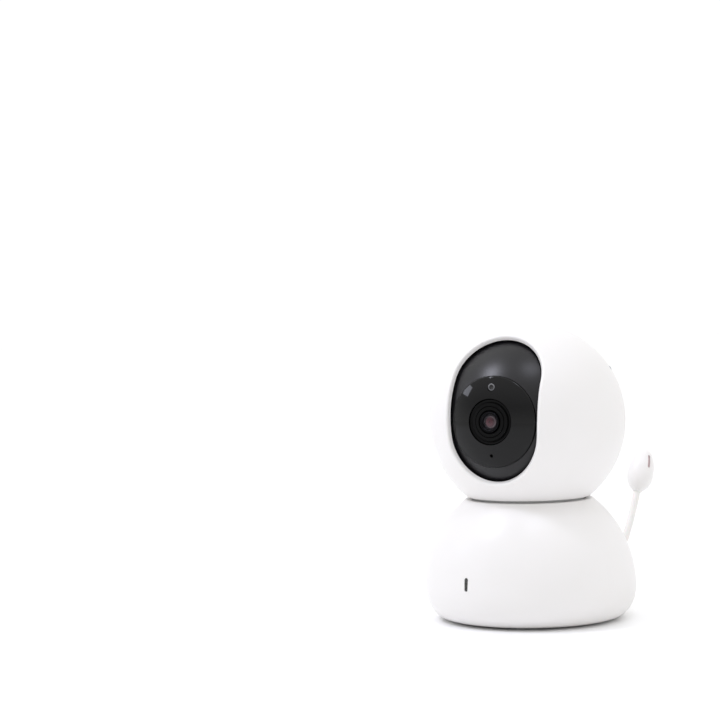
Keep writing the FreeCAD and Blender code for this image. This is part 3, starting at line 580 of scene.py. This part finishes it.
def makeBulbFilter(v, route):
    foot, before = Vector(route[-1]), Vector(route[-2])
    axis = (foot - before).normalized()
    side = Vector((1, 0, 0))
    front = side.cross(axis)                       # the bulb's own front, -Y when it stands upright
    bm = bmesh.new()
    grid = []
    for row in range(v["rows"] + 1):
        height = v["from"] + (v["to"] - v["from"]) * row / v["rows"]
        around = math.sqrt(1 - ((height - v["waist"]) / v["tip"]) ** 2) * v["radius"] - v["inset"]
        line = []
        for column in range(v["columns"] + 1):
            a = math.radians(v["azimuth"] + v["halfAngle"] * (2 * column / v["columns"] - 1))
            out = front * math.cos(a) + side * math.sin(a)
            line.append(bm.verts.new((foot + axis * height + out * around) * mm))
        grid.append(line)
    for low, high in zip(grid, grid[1:]):
        for k in range(v["columns"]):
            bm.faces.new((low[k], low[k + 1], high[k + 1], high[k]))
    mesh = bpy.data.meshes.new("bulbFilter")
    bm.to_mesh(mesh)
    bm.free()
    for face in mesh.polygons:
        face.use_smooth = True
    strip = bpy.data.objects.new("bulbFilter", mesh)
    scene.collection.objects.link(strip)
    thick = strip.modifiers.new("thickness", "SOLIDIFY")
    thick.thickness = v["thickness"] * mm
    thick.offset = 0
    paint(strip, plainMaterial("pressedFelt", bulbFeltValues))
    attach(strip, "base")
    return strip


makeProbeCord(probeCordValues, [makeBulbFilter(bulbFilterValues, probeCordValues["route"])])
print("probe cord and bulb filter made")


# studio: pale table, walls bright beyond the object and dimmer behind the camera, three soft boxes

studioValues = {
    "floorReach": 6.0,            # metres, from the middle to each edge
    "floorColours": ("#ffffff", "#fdfdfd"),
    "wallBehind": 1.06,           # brightness of the room beyond the object
    "wallInFront": 0.50,          # and behind the camera, which dark gloss reflects
    "horizon": 1.0,               # all round, low down
    "above": 1.10,
    "lampColour": "#eef0ff",      # a shade cooler than the walls
}

softBoxes = {                     # direction from the ball, size and distance in metres, watts
    "overheadLeft": {"towards": (-0.37, -0.47, 0.80), "size": 0.2, "distance": 1.0, "power": 2.9},
    "overhead": {"towards": (0.28, -0.235, 0.93), "size": 0.22, "distance": 1.0, "power": 1.0},
    "leftStrip": {"towards": (-0.73, -0.51, 0.46), "size": 0.16, "distance": 1.0, "power": 0.40},
}


def makeStudio(v):
    mesh = bpy.data.meshes.new("floor")
    bm = bmesh.new()
    bmesh.ops.create_grid(bm, x_segments=1, y_segments=1, size=v["floorReach"])
    bm.to_mesh(mesh)
    bm.free()
    floor = bpy.data.objects.new("floor", mesh)
    scene.collection.objects.link(floor)
    floor.location.z = cadLow.z
    material, tree, shader, place = startMaterial("paintedTable", {"IOR": 1.4, "Roughness": 0.35})
    cloud = grain(tree, place, 90)
    tree.links.new(blendColours(tree, cloud, *v["floorColours"]), shader.inputs["Base Color"])
    paint(floor, material)

    world = bpy.data.worlds.new("studio")
    scene.world = world
    world.use_nodes = True
    tree = world.node_tree
    tree.nodes.clear()
    toSky = addNode(tree, "SeparateXYZ", {}, {0: addNode(tree, "TexCoord").outputs["Generated"]})
    around = addNode(tree, "MapRange", {"From Min": -0.9, "From Max": 0.4, "To Min": v["wallInFront"],
                                        "To Max": v["wallBehind"]}, {"Value": toSky.outputs["Y"]})
    offFloor = addNode(tree, "MapRange", {"From Max": 0.35}, {"Value": toSky.outputs["Z"]})
    lowDown = addNode(tree, "Math", {"operation": "MAXIMUM", 1: v["horizon"]},
                      {0: around.outputs["Result"]})
    wall = addNode(tree, "Mix", {"data_type": "FLOAT"},
                   {0: offFloor.outputs["Result"], 2: lowDown.outputs[0], 3: around.outputs["Result"]})
    up = addNode(tree, "MapRange", {"From Min": 0.25, "From Max": 0.9}, {"Value": toSky.outputs["Z"]})
    strength = addNode(tree, "Mix", {"data_type": "FLOAT", 3: v["above"]},
                       {0: up.outputs["Result"], 2: wall.outputs[0]})
    back = addNode(tree, "Background", {"Color": linear("#ffffff")}, {"Strength": strength.outputs[0]})
    addNode(tree, "OutputWorld", {}, {"Surface": back.outputs["Background"]})


def makeSoftBox(name, v):
    light = bpy.data.lights.new(name, "AREA")
    light.shape = "SQUARE"
    light.size = v["size"]
    light.energy = v["power"]
    light.color = linear(studioValues["lampColour"])[:3]
    lamp = bpy.data.objects.new(name, light)
    scene.collection.objects.link(lamp)
    towards = Vector(v["towards"]).normalized()
    lamp.location = ballCentre + towards * v["distance"]
    lamp.rotation_mode = "QUATERNION"
    lamp.rotation_quaternion = towards.to_track_quat("Z", "Y")


makeStudio(studioValues)
for name, v in softBoxes.items():
    makeSoftBox(name, v)
scene.view_settings.view_transform = "Standard"
print("studio lit")
